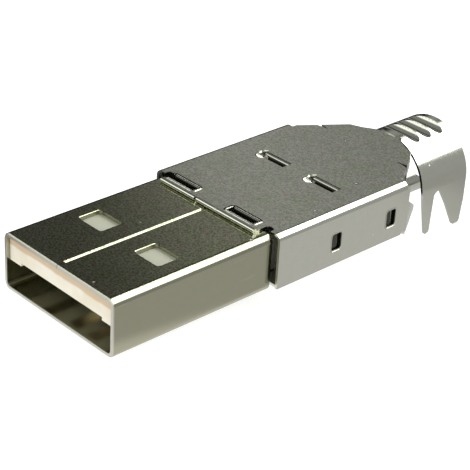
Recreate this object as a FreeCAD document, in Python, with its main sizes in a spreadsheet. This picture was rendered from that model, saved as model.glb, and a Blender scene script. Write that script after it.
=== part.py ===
import FreeCAD, Part
import math
import os
import Sketcher

# Cable-mounted plug with a rectangular shell, in millimetres.
# The origin is the centre of the open mating end. +Y runs towards the cable,
# +Z towards the seam of the shell, and X across its width.

doc = FreeCAD.newDocument("CablePlug")

# Driving dimensions
SIZES = (
    ("shell_gauge", 0.3, "sheet thickness of the plug shell"),
    ("cover_gauge", 0.2, "sheet thickness of the two covers"),
    ("seat_gap", 0.02, "play between parts that seat on each other"),
    ("shell_width", 12.0, "outside width of the plug shell"),
    ("shell_height", 4.5, "outside height of the plug shell"),
    ("shell_length", 14.2, "length of the plug shell"),
    ("shell_corner", 0.62, "outside radius of the four long shell edges"),
    ("shell_rim", 0.08, "bevel of the rim at the mating end"),
    ("seam_width", 0.05, "gap of the butt seam along the top of the shell"),
    ("seam_chamfer", 0.11, "rounded-off edge on each side of the seam"),
    ("seam_start", 0.65, "mating end of the shell to the start of that rounding"),
    ("latch_start", 5.16, "from the mating end to the latch windows"),
    ("latch_length", 2.0, "latch window along the shell"),
    ("latch_width", 2.5, "latch window across the shell"),
    ("latch_inset", 1.8, "centre line to the near edge of a latch window"),
    ("latch_corner", 0.25, "corner radius of a latch window"),
    ("tongue_recess", 0.3, "mating end of the shell to the tongue's face"),
    ("tongue_thick", 1.95, "thickness of the tongue"),
    ("tongue_length", 11.75, "mating end of the shell to the root of the tongue"),
    ("lead_chamfer", 0.25, "lead-in along the lower front edge of the tongue"),
    ("rail_width", 1.25, "unchamfered end of the tongue's front edge"),
    ("root_inset", 0.5, "rear end of the shell to the back of the tongue's root"),
    ("waist_half", 4.2, "half width of the insulator's waist between its blocks"),
    ("waist_length", 2.8, "length of that waist"),
    ("block_length", 2.6, "length of the insulator's rear block"),
    ("contact_width", 1.0, "width of a contact blade"),
    ("contact_thick", 0.25, "thickness of a contact blade"),
    ("contact_proud", 0.05, "how far a blade stands out of the tongue"),
    ("inner_pitch", 2.0, "distance between the two middle contacts"),
    ("outer_pitch", 7.0, "distance between the two outer contacts"),
    ("power_start", 1.2, "mating end of the shell to the outer contacts"),
    ("data_start", 2.2, "mating end of the shell to the middle contacts"),
    ("tail_length", 3.0, "solder tail behind the insulator"),
    ("tail_width", 1.5, "width of a solder tail"),
    ("cover_step", 0.6, "side of the shell out to the side of the top cover"),
    ("cover_setback", 0.15, "rear end of the shell to the front of the top cover's walls"),
    ("cover_length", 13.4, "length of the top cover's walls"),
    ("cover_corner", 0.55, "outside radius of the top cover's long edges"),
    ("wall_rise", 0.4, "bottom of the shell up to the top cover's wall"),
    ("wall_chamfer", 0.7, "cut corner at the rear end of the top cover's wall"),
    ("lip_reach", 0.93, "how far the front lip runs ahead of the walls"),
    ("lip_half", 4.95, "half width of the front lip"),
    ("lip_bead", 0.19, "radius of the rolled bead along the lip"),
    ("lip_slit", 0.2, "width of the slit in the lip"),
    ("slit_offset", 1.15, "centre line to the slit in the lip"),
    ("slit_depth", 0.3, "length of the slit behind the bead's axis"),
    ("relief_width", 0.7, "width of the relief notch beside the lip"),
    ("relief_depth", 0.45, "depth of the relief notch behind the walls' front"),
    ("relief_corner", 0.28, "corner radius of that relief notch"),
    ("lance_drop", 1.0, "how far a tab reaches below the plate"),
    ("lance_play", 0.1, "play beside a tab in its slot"),
    ("front_lance_gap", 0.48, "rear end of the shell to the front tabs"),
    ("front_lance_slot", 0.6, "open slot in front of a front tab"),
    ("front_lance_roll", 0.22, "outside radius of a front tab's bend"),
    ("front_lance_width", 2.75, "width of a front tab and its slot"),
    ("front_lance_left", -3.65, "centre of the left front tab"),
    ("front_lance_right", 2.73, "centre of the right front tab"),
    ("rear_lance_gap", 3.5, "back of the insulator to the rear tabs"),
    ("rear_lance_slot", 0.6, "open slot in front of a rear tab"),
    ("rear_lance_roll", 0.38, "outside radius of a rear tab's bend"),
    ("rear_lance_width", 2.7, "width of a rear tab and its slot"),
    ("rear_lance_left", -2.35, "centre of the left rear tab"),
    ("rear_lance_right", 2.82, "centre of the right rear tab"),
    ("dish_across", 1.3, "diameter of the pressed dish at one end of a rear tab"),
    ("dish_deep", 0.38, "depth of that dish"),
    ("dish_inset", 0.27, "end of a rear tab's slot to the middle of its dish"),
    ("window_length", 1.0, "side window along the wall"),
    ("window_height", 1.35, "side window up the wall"),
    ("window_corner", 0.2, "corner radius of a side window"),
    ("window_low", -0.65, "lower edge of the side windows"),
    ("window_inset", 1.65, "middle of the rear side window to the end of the wall"),
    ("window_pitch", 5.85, "distance between the two side windows of a wall"),
    ("latch_play", 0.15, "play of a wedge latch in its window"),
    ("latch_side", 0.45, "width of a wedge latch along its wall"),
    ("latch_rise", 0.1, "how far a wedge latch stands out of its wall"),
    ("taper_step", 0.4, "end of the walls to the start of the taper"),
    ("taper_inset", 0.9, "side of the cover in to the start of the taper"),
    ("notch_front", 1.78, "end of the walls to the front of the notch in the taper"),
    ("notch_back", 2.1, "end of the walls to the rear of that notch"),
    ("notch_half", 4.75, "half width of the taper at the front of the notch"),
    ("notch_rear_half", 4.55, "half width of the taper at the rear of the notch"),
    ("notch_inner", 3.55, "half width at the bottom of that notch"),
    ("taper_length", 3.6, "length of the taper"),
    ("end_half", 3.25, "half width of the cover at the end of the taper"),
    ("neck_half", 1.06, "half width of the neck to the saddle"),
    ("shoulder_half", 2.3, "half width where the neck starts"),
    ("neck_length", 1.2, "end of the taper to the saddle"),
    ("neck_hole", 0.13, "radius of the relief hole in each corner of the neck"),
    ("shoulder_length", 0.4, "end of the taper to where the neck starts"),
    ("front_flange", 1.0, "depth of the flange in front of the notch"),
    ("rear_flange", 1.2, "depth of the flange behind the notch"),
    ("saddle_radius", 3.9, "outside radius of the crimp saddle"),
    ("saddle_rise", 0.06, "top of the saddle above the plate"),
    ("saddle_length", 5.4, "length of the saddle"),
    ("leg_shoulder", 0.9, "origin down to where the legs' front edge slants back"),
    ("leg_waist", 2.1, "origin down to the bend in the legs' front edge"),
    ("leg_waist_back", 0.2, "saddle's front to that bend"),
    ("front_tine_start", 0.7, "saddle's front to the front of the front tine's tip"),
    ("front_tine_end", 1.38, "saddle's front to the rear of the front tine's tip"),
    ("fork_start", 1.55, "saddle's front to the front of the fork between the tines"),
    ("fork_end", 2.1, "saddle's front to the rear of that fork"),
    ("fork_rise", 1.5, "origin down to the top of that fork"),
    ("rear_tine_bend", 3.15, "saddle's front to the bend in the rear tine's edge"),
    ("rear_tine_width", 0.8, "width of the rear tine's tip"),
    ("rear_tine_end", 0.25, "rear tine's tip to the saddle's rear"),
    ("rear_leg_swell", 0.15, "how far the legs' rear edge swells out"),
    ("front_tip_length", 0.9, "straight end of the front tine"),
    ("front_tip_radius", 0.18, "rounding of the front tine's tip"),
    ("rear_tip_radius", 0.3, "rounding of the rear tine's tip"),
    ("tine_sweep", 3.0, "radius of the long bends in the tines' edges"),
    ("tine_drop", 5.42, "origin down to the tips of the tines"),
    ("groove_count", 3, "pressed grooves across the saddle"),
    ("groove_pitch", 1.37, "distance between two grooves"),
    ("groove_first", 1.4, "saddle's front to the first groove"),
    ("groove_depth", 0.44, "depth of a groove at the top of the saddle"),
    ("groove_half", 0.66, "half width of a groove at the top of the saddle"),
    ("tray_play", 0.03, "play between the walls of the two covers"),
    ("tray_setback", 0.75, "rear end of the shell to the front edge of the bottom cover"),
    ("tray_headroom", 0.3, "bottom cover's walls to the top cover's plate"),
    ("tray_taper_step", 0.55, "end of the top cover's walls to the bottom cover's taper"),
    ("tray_taper_out", 0.57, "top cover's taper out to the bottom cover's taper"),
    ("tray_taper_length", 3.75, "length of the bottom cover's taper"),
    ("tray_end_half", 3.9, "half width of the bottom cover at the end of its taper"),
    ("tray_flange", 2.9, "height of the taper's flange at its front end"),
    ("tray_flange_end", 0.35, "height of the taper's flange at its rear end"),
    ("trough_root_half", 1.8, "half width of the bottom plate under the saddle's front"),
    ("trough_radius", 3.0, "outside radius of the cable trough"),
    ("trough_axis", 0.05, "height of the trough's axis"),
    ("trough_rim", -0.85, "height of the trough's rim"),
    ("trough_end_inset", 0.85, "trough's rear edge to the saddle's rear edge"),
    ("dip_length", 2.45, "where the bottom plate starts to dip to the end of the taper"),
)

sheet = doc.addObject("Spreadsheet::Sheet", "Sizes")
for row, (alias, value, meaning) in enumerate(SIZES, start=1):
    sheet.set(f"A{row}", meaning)
    sheet.set(f"B{row}", str(value))
    sheet.setAlias(f"B{row}", alias)
doc.recompute()


def cell(alias):
    """The value of one cell of the sheet."""
    return float(sheet.get(alias))


def bound(formula):
    """An expression on the sheet, from a formula that names its aliases in braces."""
    return formula.replace("{", "Sizes.").replace("}", "")


def value_of(formula):
    """The number that such a formula gives now."""
    return float(sheet.evalExpression(bound(formula)))


# Formulas that several parts share. Those along the plug follow one another
# from the mating end to the cable end.
TOP = "{shell_height} / 2"
BOTTOM = "-{shell_height} / 2"
PLATE_TOP = "({shell_height} / 2 + {cover_gauge})"
COVER_HALF = "({shell_width} / 2 + {cover_step})"
COVER_WIDTH = "({shell_width} + 2 * {cover_step})"
COVER_INSIDE = f"({COVER_HALF} - {{cover_gauge}})"
TRAY_HALF = f"({COVER_INSIDE} - {{tray_play}})"
ROOT_END = "({shell_length} - {root_inset})"
BLOCK_FRONT = f"({ROOT_END} + {{waist_length}})"
BLOCK_END = f"({BLOCK_FRONT} + {{block_length}})"
COVER_FRONT = "({shell_length} + {cover_setback})"
LIP_FRONT = f"({COVER_FRONT} - {{lip_reach}})"
FRONT_TAB = "({shell_length} + {front_lance_gap})"
REAR_TAB = f"({BLOCK_END} + {{rear_lance_gap}})"
COVER_REAR = f"({COVER_FRONT} + {{cover_length}})"
WINDOW_BACK = f"({COVER_REAR} - {{window_inset}})"
WINDOW_FRONT = f"({WINDOW_BACK} - {{window_pitch}})"
TAPER_START = f"({COVER_REAR} + {{taper_step}})"
TAPER_END = f"({TAPER_START} + {{taper_length}})"
TAPER_HALF = f"({COVER_HALF} - {{taper_inset}})"
NOTCH_FRONT = f"({COVER_REAR} + {{notch_front}})"
NOTCH_BACK = f"({COVER_REAR} + {{notch_back}})"
SADDLE_FRONT = f"({TAPER_END} + {{neck_length}})"
SADDLE_REAR = f"({SADDLE_FRONT} + {{saddle_length}})"
SADDLE_AXIS = "({shell_height} / 2 + {cover_gauge} + {saddle_rise} - {saddle_radius})"
TRAY_FRONT = "({shell_length} + {tray_setback})"
TRAY_TAPER = f"({COVER_REAR} + {{tray_taper_step}})"
TRAY_TAPER_END = f"({TRAY_TAPER} + {{tray_taper_length}})"
TRAY_TAPER_HALF = f"({TAPER_HALF} + {{tray_taper_out}})"


def origin_plane(body, role):
    """One of the origin planes of a body, found by its role."""
    return next(item for item in body.Origin.OriginFeatures if item.Role == role)


def constrain(sketch, kind, arguments, formula=None):
    """Add a constraint, tied to a formula where one is given."""
    if formula is None:
        return sketch.addConstraint(Sketcher.Constraint(kind, *arguments))
    start = value_of(formula)
    index = sketch.addConstraint(Sketcher.Constraint(kind, *arguments, start))
    sketch.setExpression(f"Constraints[{index}]", bound(formula))
    return index


def attach(body, name, role, offset):
    """A new sketch on an origin plane, moved along the plane's normal."""
    sketch = body.newObject("Sketcher::SketchObject", name)
    sketch.AttachmentSupport = [(origin_plane(body, role), "")]
    sketch.MapMode = "FlatFace"
    sketch.setExpression("AttachmentOffset.Base.z", bound(offset))
    return sketch


def outline(body, name, role, corners, offset="0"):
    """A closed outline of straight sides.

    A corner is (across, up) or (across, up, radius), each a formula. A rounded
    corner is a tangent arc, and the two sides still aim at the corner's point.
    """
    sketch = attach(body, name, role, offset)
    count = len(corners)
    points = [FreeCAD.Vector(value_of(c[0]), value_of(c[1]), 0) for c in corners]
    radii = [value_of(c[2]) if len(c) > 2 else 0.0 for c in corners]
    starts, ends, bends = [], [], []
    for here in range(count):
        back = (points[here - 1] - points[here]).normalize()
        ahead = (points[(here + 1) % count] - points[here]).normalize()
        half = back.getAngle(ahead) / 2
        reach = radii[here] / math.tan(half) if radii[here] else 0.0
        ends.append(points[here] + back * reach)
        starts.append(points[here] + ahead * reach)
        middle = (back + ahead).normalize()
        depth = radii[here] / math.sin(half) - radii[here]
        bends.append(points[here] + middle * depth)
    sides = [sketch.addGeometry(Part.LineSegment(starts[i], ends[(i + 1) % count]), False)
             for i in range(count)]
    for here, corner in enumerate(corners):
        before = sides[here - 1]
        after = sides[here]
        if radii[here] == 0.0:
            constrain(sketch, "Coincident", (before, 2, after, 1))
            constrain(sketch, "DistanceX", (-1, 1, after, 1), corner[0])
            constrain(sketch, "DistanceY", (-1, 1, after, 1), corner[1])
            continue
        arc = sketch.addGeometry(Part.Arc(ends[here], bends[here], starts[here]), False)
        turns_left = (points[here] - points[here - 1]).cross(points[(here + 1) % count] - points[here]).z > 0
        enters, leaves = (1, 2) if turns_left else (2, 1)
        mark = sketch.addGeometry(Part.Point(points[here]), True)
        constrain(sketch, "Tangent", (before, 2, arc, enters))
        constrain(sketch, "Tangent", (arc, leaves, after, 1))
        constrain(sketch, "Radius", (arc,), corner[2])
        constrain(sketch, "PointOnObject", (mark, 1, before))
        constrain(sketch, "PointOnObject", (mark, 1, after))
        constrain(sketch, "DistanceX", (-1, 1, mark, 1), corner[0])
        constrain(sketch, "DistanceY", (-1, 1, mark, 1), corner[1])
    return sketch


def rectangle(body, name, role, left, right, low, high, radius=None, offset="0"):
    """A rectangle, with all four corners rounded where a radius is given."""
    corners = [(left, low), (right, low), (right, high), (left, high)]
    if radius is not None:
        corners = [corner + (radius,) for corner in corners]
    return outline(body, name, role, corners, offset)


def pad(body, name, sketch, length, backwards=False):
    """Add material from a sketch, by a length that is a formula."""
    feature = body.newObject("PartDesign::Pad", name)
    feature.Profile = sketch
    feature.setExpression("Length", bound(length))
    feature.Reversed = backwards
    sketch.Visibility = False
    doc.recompute()
    return feature


def pocket(body, name, sketch, depth, backwards=False):
    """Cut material from a sketch, and make sure that something was cut."""
    before = body.Shape.Volume
    feature = body.newObject("PartDesign::Pocket", name)
    feature.Profile = sketch
    feature.setExpression("Length", bound(depth))
    feature.Reversed = backwards
    sketch.Visibility = False
    doc.recompute()
    if not body.Shape.Volume < before:
        raise RuntimeError(f"{name} cuts nothing")
    return feature


def both_ways(body, name, sketch, half):
    """Cut through to both sides of a sketch."""
    before = body.Shape.Volume
    feature = body.newObject("PartDesign::Pocket", name)
    feature.Profile = sketch
    feature.setExpression("Length", bound(f"2 * ({half})"))
    feature.Midplane = True
    sketch.Visibility = False
    doc.recompute()
    if not body.Shape.Volume < before:
        raise RuntimeError(f"{name} cuts nothing")
    return feature


def soften(body, name, kind, size, chosen):
    """Fillet or chamfer the edges of the body's tip that a test picks."""
    tip = body.Tip
    names = [f"Edge{i}" for i, edge in enumerate(tip.Shape.Edges, start=1) if chosen(edge)]
    if not names:
        raise RuntimeError(f"{name} finds no edge")
    feature = body.newObject(kind, name)
    feature.Base = (tip, names)
    feature.setExpression("Radius" if kind.endswith("Fillet") else "Size", bound(size))
    doc.recompute()
    return feature


def new_body(label):
    """A body whose label names its file."""
    body = doc.addObject("PartDesign::Body", label)
    body.Label = label
    return body


SLACK = 1e-4


def at(edge, axis, place):
    """Whether both ends of an edge lie at one place along an axis."""
    return all(abs(getattr(vertex.Point, axis) - place) < SLACK for vertex in edge.Vertexes)


# The plug shell: a folded tube with a butt seam on top and four latch windows
shell = new_body("plug_shell")
HALF_WIDTH = "{shell_width} / 2"
pad(shell, "ShellTube",
    rectangle(shell, "ShellOutside", "XZ_Plane", f"-{HALF_WIDTH}", HALF_WIDTH, BOTTOM, TOP,
              "{shell_corner}"),
    "{shell_length}", backwards=True)
INNER_HALF = "({shell_width} / 2 - {shell_gauge})"
INNER_TOP = "({shell_height} / 2 - {shell_gauge})"
pocket(shell, "ShellHollow",
       rectangle(shell, "ShellInside", "XZ_Plane", f"-{INNER_HALF}", INNER_HALF,
                 f"-{INNER_TOP}", INNER_TOP, "{shell_corner} - {shell_gauge}"),
       "{shell_length}")
for side, name in ((-1, "Left"), (1, "Right")):
    near = f"{side} * {{latch_inset}}"
    far = f"{side} * ({{latch_inset}} + {{latch_width}})"
    left, right = (near, far) if side > 0 else (far, near)
    both_ways(shell, f"LatchWindow{name}",
              rectangle(shell, f"LatchOutline{name}", "XY_Plane", left, right, "{latch_start}",
                        "{latch_start} + {latch_length}", "{latch_corner}"),
              "{shell_height}")
seam_half = "{seam_width} / 2"
seam_open = "({seam_width} / 2 + {seam_chamfer})"
pocket(shell, "SeamGap",
       rectangle(shell, "SeamSection", "XZ_Plane", f"-{seam_half}", seam_half, "0",
                 f"{TOP} + {{shell_gauge}}"),
       "{shell_length}")
pocket(shell, "SeamRounding",
       outline(shell, "SeamRoundingSection", "XZ_Plane",
               [("0", f"{TOP} - {{seam_chamfer}} - {seam_half}"), (seam_open, TOP),
                (seam_open, f"{TOP} + {{shell_gauge}}"), (f"-{seam_open}", f"{TOP} + {{shell_gauge}}"),
                (f"-{seam_open}", TOP)],
               offset="-{seam_start}"),
       "{shell_length} - {seam_start}")


def outer_rim(edge):
    """An edge of the mating end that lies on the outside of the shell."""
    sides = cell("shell_width") / 2
    faces = cell("shell_height") / 2
    outside = all(abs(abs(vertex.Point.x) - sides) < SLACK or abs(abs(vertex.Point.z) - faces) < SLACK
                  for vertex in edge.Vertexes)
    return outside and at(edge, "y", 0.0)


soften(shell, "RimBevel", "PartDesign::Chamfer", "{shell_rim}", outer_rim)


# The insulator: a tongue under the top wall, a block that fills the shell
# behind the mouth, and a wider block between the two covers
insulator = new_body("insulator")
CORE_HALF = f"({INNER_HALF} - {{seat_gap}})"
CORE_TOP = f"({INNER_TOP} - {{seat_gap}})"
CORE_CORNER = "{shell_corner} - {shell_gauge}"
TONGUE_UNDER = f"({INNER_TOP} - {{tongue_thick}})"
BLOCK_HALF = f"({TRAY_HALF} - {{cover_gauge}} - {{seat_gap}})"
BLOCK_TOP = f"({TOP} - {{seat_gap}})"
BLOCK_LOW = f"({BOTTOM} + {{cover_gauge}} + {{seat_gap}})"
WAIST_TOP = f"({TOP} - {{lance_drop}} - {{lance_play}})"
pad(insulator, "Tongue",
    outline(insulator, "TongueSection", "XZ_Plane",
            [(f"-{CORE_HALF}", TONGUE_UNDER), (CORE_HALF, TONGUE_UNDER),
             (CORE_HALF, CORE_TOP, CORE_CORNER), (f"-{CORE_HALF}", CORE_TOP, CORE_CORNER)],
            offset="-{tongue_recess}"),
    "{tongue_length} - {tongue_recess} + {shell_gauge}", backwards=True)
pad(insulator, "Root",
    rectangle(insulator, "RootSection", "XZ_Plane", f"-{CORE_HALF}", CORE_HALF,
              f"-{CORE_TOP}", CORE_TOP, CORE_CORNER, offset="-{tongue_length}"),
    f"{ROOT_END} - {{tongue_length}}", backwards=True)
pad(insulator, "Waist",
    rectangle(insulator, "WaistSection", "XZ_Plane", "-{waist_half}", "{waist_half}",
              f"-{CORE_TOP}", WAIST_TOP, offset=f"-({ROOT_END} - {{shell_gauge}})"),
    "{waist_length} + 2 * {shell_gauge}", backwards=True)
pad(insulator, "RearBlock",
    rectangle(insulator, "RearBlockSection", "XZ_Plane", f"-{BLOCK_HALF}", BLOCK_HALF, BLOCK_LOW,
              BLOCK_TOP, "{cover_corner} - {cover_gauge}", offset=f"-{BLOCK_FRONT}"),
    "{block_length}", backwards=True)
pocket(insulator, "LeadIn",
       outline(insulator, "LeadInSection", "YZ_Plane",
               [("{tongue_recess} - {lead_chamfer}", f"{TONGUE_UNDER} - {{lead_chamfer}}"),
                ("{tongue_recess} + {lead_chamfer} * 2", f"{TONGUE_UNDER} - {{lead_chamfer}}"),
                ("{tongue_recess} - {lead_chamfer}", f"{TONGUE_UNDER} + {{lead_chamfer}} * 2")],
               offset=f"-({CORE_HALF} - {{rail_width}})"),
       f"2 * ({CORE_HALF} - {{rail_width}})", backwards=True)


# The four contact blades, flush in slots under the tongue, with solder tails
CONTACTS = (
    ("contact_power", "-{outer_pitch} / 2", "{power_start}"),
    ("contact_data_minus", "-{inner_pitch} / 2", "{data_start}"),
    ("contact_data_plus", "{inner_pitch} / 2", "{data_start}"),
    ("contact_ground", "{outer_pitch} / 2", "{power_start}"),
)
BLADE_UNDER = f"({TONGUE_UNDER} - {{contact_proud}})"
for label, middle, start in CONTACTS:
    half = "{contact_width} / 2"
    slot_half = "({contact_width} / 2 + {seat_gap})"
    pocket(insulator, f"Slot_{label}",
           rectangle(insulator, f"SlotSection_{label}", "XZ_Plane",
                     f"{middle} - {slot_half}", f"{middle} + {slot_half}",
                     BLADE_UNDER, f"{BLADE_UNDER} + {{contact_thick}} + {{seat_gap}}",
                     offset=f"-({start} - {{seat_gap}})"),
           BLOCK_END)
    contact = new_body(label)
    pad(contact, f"Blade_{label}",
        rectangle(contact, f"BladeSection_{label}", "XZ_Plane", f"{middle} - {half}",
                  f"{middle} + {half}", BLADE_UNDER, f"{BLADE_UNDER} + {{contact_thick}}",
                  offset=f"-{start}"),
        f"{BLOCK_END} - {start} + {{tail_length}}", backwards=True)
    tail_half = "{tail_width} / 2"
    pad(contact, f"Tail_{label}",
        rectangle(contact, f"TailOutline_{label}", "XY_Plane", f"{middle} - {tail_half}",
                  f"{middle} + {tail_half}", f"{BLOCK_END} + {{contact_thick}}",
                  f"{BLOCK_END} + {{tail_length}}", offset=BLADE_UNDER),
        "{contact_thick}")


# The top cover's channel: plate and two walls, with the front lip
cover = new_body("cover_sheet")
WALL_FOOT = f"({BOTTOM} + {{wall_rise}})"
INNER_BEND = "{cover_corner} - {cover_gauge}"
pad(cover, "Channel",
    outline(cover, "ChannelSection", "XZ_Plane",
            [(f"-{COVER_HALF}", WALL_FOOT), (f"-{COVER_INSIDE}", WALL_FOOT),
             (f"-{COVER_INSIDE}", TOP, INNER_BEND), (COVER_INSIDE, TOP, INNER_BEND),
             (COVER_INSIDE, WALL_FOOT), (COVER_HALF, WALL_FOOT),
             (COVER_HALF, PLATE_TOP, "{cover_corner}"),
             (f"-{COVER_HALF}", PLATE_TOP, "{cover_corner}")],
            offset=f"-{COVER_FRONT}"),
    "{cover_length}", backwards=True)
pad(cover, "Lip",
    rectangle(cover, "LipOutline", "XY_Plane", "-{lip_half}", "{lip_half}", LIP_FRONT,
              f"{COVER_FRONT} + {{cover_gauge}}", offset=TOP),
    "{cover_gauge}")


def mirrored(points):
    """An outline from its right half, listed from front to rear."""
    return list(points) + [(f"-({across})", along) for across, along in reversed(points)]


pad(cover, "RearPlate",
    outline(cover, "RearPlateOutline", "XY_Plane",
            mirrored([(TAPER_HALF, f"{COVER_REAR} - {{cover_gauge}}"),
                      (TAPER_HALF, TAPER_START),
                      ("{notch_half}", NOTCH_FRONT),
                      ("{notch_inner}", f"({NOTCH_FRONT} + {NOTCH_BACK}) / 2"),
                      ("{notch_rear_half}", NOTCH_BACK),
                      ("{end_half}", TAPER_END),
                      ("{shoulder_half}", f"{TAPER_END} + {{shoulder_length}}"),
                      ("{neck_half}", SADDLE_FRONT),
                      ("{neck_half}", f"{SADDLE_FRONT} + {{cover_gauge}}")]),
            offset=TOP),
    "{cover_gauge}")


# Thickness of a slanted flange, measured across the cover
FLANGE_SKEW = "{cover_gauge} * 1.2"


def flange(name, near, far, depth):
    """A flange bent down along the taper, on both sides of the cover."""
    for side, hand in ((1, "Right"), (-1, "Left")):
        corners = [(f"{side} * {near[0]}", near[1]), (f"{side} * {far[0]}", far[1]),
                   (f"{side} * ({far[0]} - {FLANGE_SKEW})", far[1]),
                   (f"{side} * ({near[0]} - {FLANGE_SKEW})", near[1])]
        pad(cover, f"{name}{hand}",
            outline(cover, f"{name}Outline{hand}", "XY_Plane",
                    corners if side > 0 else corners[::-1], offset=PLATE_TOP),
            f"{depth} + {{cover_gauge}}", backwards=True)


flange("FrontFlange", (TAPER_HALF, TAPER_START), ("{notch_half}", NOTCH_FRONT), "{front_flange}")
flange("RearFlange", ("{notch_rear_half}", NOTCH_BACK), ("{end_half}", TAPER_END), "{rear_flange}")

# Slots with tabs bent down at their rear edge
LANCES = (
    ("FrontLanceLeft", "{front_lance_left}", "front_lance", FRONT_TAB),
    ("FrontLanceRight", "{front_lance_right}", "front_lance", FRONT_TAB),
    ("RearLanceLeft", "{rear_lance_left}", "rear_lance", REAR_TAB),
    ("RearLanceRight", "{rear_lance_right}", "rear_lance", REAR_TAB),
)
for name, middle, kind, tab_front in LANCES:
    half = f"{{{kind}_width}} / 2"
    slot = f"{{{kind}_slot}}"
    roll = f"{{{kind}_roll}}"
    pocket(cover, f"{name}Slot",
           rectangle(cover, f"{name}SlotOutline", "XY_Plane", f"{middle} - {half}",
                     f"{middle} + {half}", f"{tab_front} - {slot}", f"{tab_front} + {roll}",
                     offset=PLATE_TOP),
           "{cover_gauge}")
    pad(cover, f"{name}Tab",
        outline(cover, f"{name}TabSection", "YZ_Plane",
                [(f"{tab_front} + {roll} + {{cover_gauge}} / 2", TOP),
                 (f"{tab_front} + {roll} + {{cover_gauge}} / 2", PLATE_TOP),
                 (tab_front, PLATE_TOP, roll),
                 (tab_front, f"{TOP} - {{lance_drop}}"),
                 (f"{tab_front} + {{cover_gauge}}", f"{TOP} - {{lance_drop}}"),
                 (f"{tab_front} + {{cover_gauge}}", TOP, f"{roll} - {{cover_gauge}}")],
                offset=f"{middle} - {half} + {{lance_play}}"),
        f"2 * ({half} - {{lance_play}})")
pocket(cover, "LipSlit",
       rectangle(cover, "LipSlitOutline", "XY_Plane", "-{slit_offset} - {lip_slit} / 2",
                 "-{slit_offset} + {lip_slit} / 2", f"{LIP_FRONT} - {{cover_gauge}}",
                 f"{LIP_FRONT} + {{slit_depth}}", offset=PLATE_TOP),
       "{cover_gauge}")
for side, hand in ((1, "Right"), (-1, "Left")):
    inner = f"{side} * {{lip_half}}"
    outer = f"{side} * ({{lip_half}} + {{relief_width}})"
    left, right = (inner, outer) if side > 0 else (outer, inner)
    pocket(cover, f"Relief{hand}",
           outline(cover, f"ReliefOutline{hand}", "XY_Plane",
                   [(left, f"{COVER_FRONT} - {{cover_gauge}}"),
                    (right, f"{COVER_FRONT} - {{cover_gauge}}"),
                    (right, f"{COVER_FRONT} + {{relief_depth}}", "{relief_corner}"),
                    (left, f"{COVER_FRONT} + {{relief_depth}}", "{relief_corner}")],
                   offset=PLATE_TOP),
           "{cover_gauge}")

# Side windows and the cut lower corner at the rear of both walls
for name, middle in (("SideWindowFront", WINDOW_FRONT), ("SideWindowBack", WINDOW_BACK)):
    both_ways(cover, name,
              rectangle(cover, f"{name}Outline", "YZ_Plane", f"{middle} - {{window_length}} / 2",
                        f"{middle} + {{window_length}} / 2", "{window_low}",
                        "{window_low} + {window_height}", "{window_corner}"),
              COVER_WIDTH)
both_ways(cover, "WallCorner",
          outline(cover, "WallCornerOutline", "YZ_Plane",
                  [(f"{COVER_REAR} - {{wall_chamfer}} / 2", f"{WALL_FOOT} - {{cover_gauge}}"),
                   (f"{COVER_REAR} + {{cover_gauge}}", f"{WALL_FOOT} - {{cover_gauge}}"),
                   (f"{COVER_REAR} + {{cover_gauge}}", f"{WALL_FOOT} + {{wall_chamfer}}"),
                   (COVER_REAR, f"{WALL_FOOT} + {{wall_chamfer}}"),
                   (f"{COVER_REAR} - {{wall_chamfer}} / 2", WALL_FOOT)]),
          COVER_WIDTH)


def primitive(kind, name, sizes, place, turn=None):
    """A Part primitive with its sizes and its place tied to the sheet."""
    shape = doc.addObject(kind, name)
    if turn is not None:
        shape.Placement = FreeCAD.Placement(FreeCAD.Vector(), turn)
    for size, formula in sizes.items():
        shape.setExpression(size, bound(formula))
    for axis, formula in zip("xyz", place):
        shape.setExpression(f"Placement.Base.{axis}", bound(formula))
    return shape


def combine(kind, name, **links):
    """A boolean of earlier shapes."""
    result = doc.addObject(kind, name)
    for link, target in links.items():
        setattr(result, link, target)
    return result


ALONG_Y = FreeCAD.Rotation(FreeCAD.Vector(1, 0, 0), -90)
ALONG_X = FreeCAD.Rotation(FreeCAD.Vector(0, 1, 0), 90)

# The crimp saddle: an arch with straight legs, its grooves pressed right
# through the sheet, so that each shows as a ridge inside


def arch(name, radius, drop):
    """A solid arch, a half round on two straight sides."""
    body = doc.addObject("PartDesign::Body", name)
    section = attach(body, f"{name}Section", "XZ_Plane", f"-{SADDLE_FRONT}")
    reach = value_of(radius)
    centre = value_of(SADDLE_AXIS)
    low = -value_of(drop)
    top = section.addGeometry(Part.Arc(FreeCAD.Vector(reach, centre, 0),
                                       FreeCAD.Vector(0, centre + reach, 0),
                                       FreeCAD.Vector(-reach, centre, 0)), False)
    left = section.addGeometry(Part.LineSegment(FreeCAD.Vector(-reach, centre, 0),
                                                FreeCAD.Vector(-reach, low, 0)), False)
    foot = section.addGeometry(Part.LineSegment(FreeCAD.Vector(-reach, low, 0),
                                                FreeCAD.Vector(reach, low, 0)), False)
    right = section.addGeometry(Part.LineSegment(FreeCAD.Vector(reach, low, 0),
                                                 FreeCAD.Vector(reach, centre, 0)), False)
    for first, second in ((left, foot), (foot, right)):
        constrain(section, "Coincident", (first, 2, second, 1))
    constrain(section, "Tangent", (top, 2, left, 1))
    constrain(section, "Tangent", (right, 2, top, 1))
    constrain(section, "Vertical", (left,))
    constrain(section, "Horizontal", (foot,))
    constrain(section, "PointOnObject", (top, 3, -2))
    constrain(section, "Radius", (top,), radius)
    constrain(section, "DistanceY", (-1, 1, top, 3), SADDLE_AXIS)
    constrain(section, "DistanceY", (-1, 1, foot, 1), f"-({drop})")
    pad(body, f"{name}Pad", section, "{saddle_length}", backwards=True)
    return body


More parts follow.
